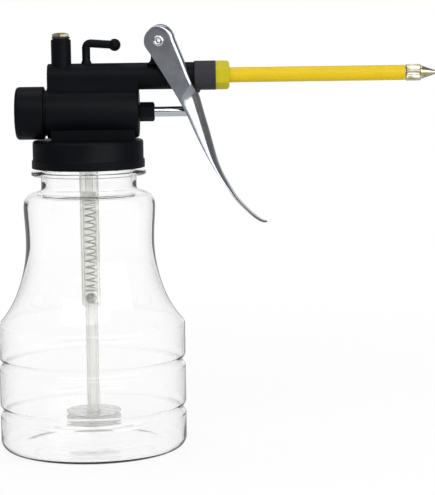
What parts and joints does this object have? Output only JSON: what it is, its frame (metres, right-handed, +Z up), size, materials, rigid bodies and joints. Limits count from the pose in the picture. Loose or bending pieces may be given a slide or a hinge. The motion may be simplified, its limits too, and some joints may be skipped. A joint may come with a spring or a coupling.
{
  "type": "oil can",
  "caption": "Trigger-pump oil can: clear flared bottle, black pump head with a pressed-steel lever, and a rigid yellow spout with a fine metal tip.",
  "frame": {"origin": "centre of the bottle's base, on the surface that it stands on", "axes": "+X along the spout towards its tip, +Y to the left of the spout, +Z up along the bottle's axis"},
  "size_m": [0.1741, 0.0734, 0.166],
  "materials": {
    "clear_plastic": "clear, smooth, blow-moulded",
    "black_plastic": "fine matte moulded surface",
    "black_rubber": "plain moulded rubber",
    "milky_plastic": "translucent, milky white",
    "satin_steel": "pressed and tumbled, satin",
    "bright_steel": "bright plated",
    "lemon_plastic": "lemon yellow, semi-gloss",
    "yellow_plastic": "deep yellow, semi-gloss",
    "plated_brass": "turned and plated, bright",
    "white_plastic": "machined, low sheen"
  },
  "bodies": {
    "bottle_body": {"bottle": "clear_plastic"},
    "head": {"pump_head": "black_plastic", "neck_gasket": "black_rubber", "rear_end_cap": "black_plastic", "end_cap_seal": "black_rubber", "return_spring": "bright_steel", "rod_seal": "black_rubber", "gland_nut": "black_plastic", "pivot_rivet": "bright_steel", "valve_plug_screw": "plated_brass", "plug_washer": "black_rubber", "outlet_valve_spring": "bright_steel", "valve_tube": "milky_plastic", "inlet_valve_spring": "bright_steel", "suction_tube": "milky_plastic", "strainer_foot": "milky_plastic"},
    "trigger": {"trigger_lever": "satin_steel"},
    "plunger": {"piston": "white_plastic", "piston_seal": "black_rubber", "piston_rod": "bright_steel"},
    "outlet_ball": {"outlet_valve_ball": "bright_steel"},
    "inlet_ball": {"inlet_valve_ball": "bright_steel"},
    "spout": {"spout_tube": "yellow_plastic", "spout_seal": "black_rubber", "nozzle_tip": "plated_brass"},
    "nut": {"spout_nut": "lemon_plastic"}
  },
  "joints": [
    {"name": "head_lift", "type": "slide", "parent": "bottle_body", "child": "head", "axis": [0, 0, 1], "range_m": [0, 0.112]},
    {"name": "trigger_pivot", "type": "hinge", "parent": "head", "child": "trigger", "pos_m": [0.0282, 0, 0.1596], "axis": [0, 1, 0], "range_deg": [0, 25], "stiffness_Nm_per_rad": 0.2, "springref_deg": -11.46},
    {"name": "piston_slide", "type": "slide", "parent": "head", "child": "plunger", "axis": [-1, 0, 0], "range_m": [0, 0.0128], "deforming": ["return_spring"]},
    {"name": "outlet_ball_lift", "type": "slide", "parent": "head", "child": "outlet_ball", "axis": [0, 0, 1], "range_m": [0, 0.0015], "stiffness_N_per_m": 20, "springref_m": -0.003, "deforming": ["outlet_valve_spring"]},
    {"name": "inlet_ball_lift", "type": "slide", "parent": "head", "child": "inlet_ball", "axis": [0, 0, 1], "range_m": [0, 0.0018], "stiffness_N_per_m": 20, "springref_m": -0.003, "deforming": ["inlet_valve_spring"]},
    {"name": "spout_pull", "type": "slide", "parent": "head", "child": "spout", "axis": [1, 0, 0], "range_m": [0, 0.012]},
    {"name": "nut_turn", "type": "hinge", "parent": "spout", "child": "nut", "pos_m": [0.0527, 0, 0.14595], "axis": [1, 0, 0], "continuous": true}
  ],
  "couplings": [
    {"joint": "piston_slide", "follows": "trigger_pivot", "m_per_rad": 0.0292}
  ]
}
